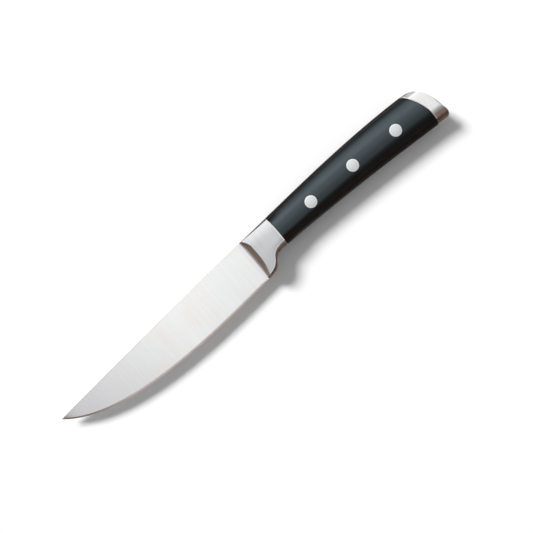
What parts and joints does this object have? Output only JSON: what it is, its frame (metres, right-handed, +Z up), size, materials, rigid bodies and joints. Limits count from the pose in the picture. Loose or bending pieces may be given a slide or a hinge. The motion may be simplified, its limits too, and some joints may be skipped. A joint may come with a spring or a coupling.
{
  "type": "steak knife",
  "caption": "Steak knife with a plain upswept edge, scooped steel bolster and finger guard, riveted black grips on a full tang and a curved steel end cap, lying on its side.",
  "frame": {"origin": "middle of the outline, on the surface that the knife lies on", "axes": "+X from the tip to the butt, +Y from the cutting edge to the spine, +Z up through the thickness, out of the left side"},
  "size_m": [0.23, 0.0278, 0.0135],
  "materials": {
    "blade_steel": "satin, ground across the blade",
    "bolster_steel": "fine satin, rounded edges polished",
    "grip_black": "satin moulded plastic",
    "rivet_steel": "ground level with the grips"
  },
  "bodies": {
    "root": {"blade_and_tang": "blade_steel", "bolster_left": "bolster_steel", "bolster_right": "bolster_steel", "end_cap": "bolster_steel", "grip_left": "grip_black", "grip_right": "grip_black", "rivet_front_post": "rivet_steel", "rivet_front_sleeve": "rivet_steel", "rivet_middle_post": "rivet_steel", "rivet_middle_sleeve": "rivet_steel", "rivet_rear_post": "rivet_steel", "rivet_rear_sleeve": "rivet_steel"}
  },
  "joints": []
}
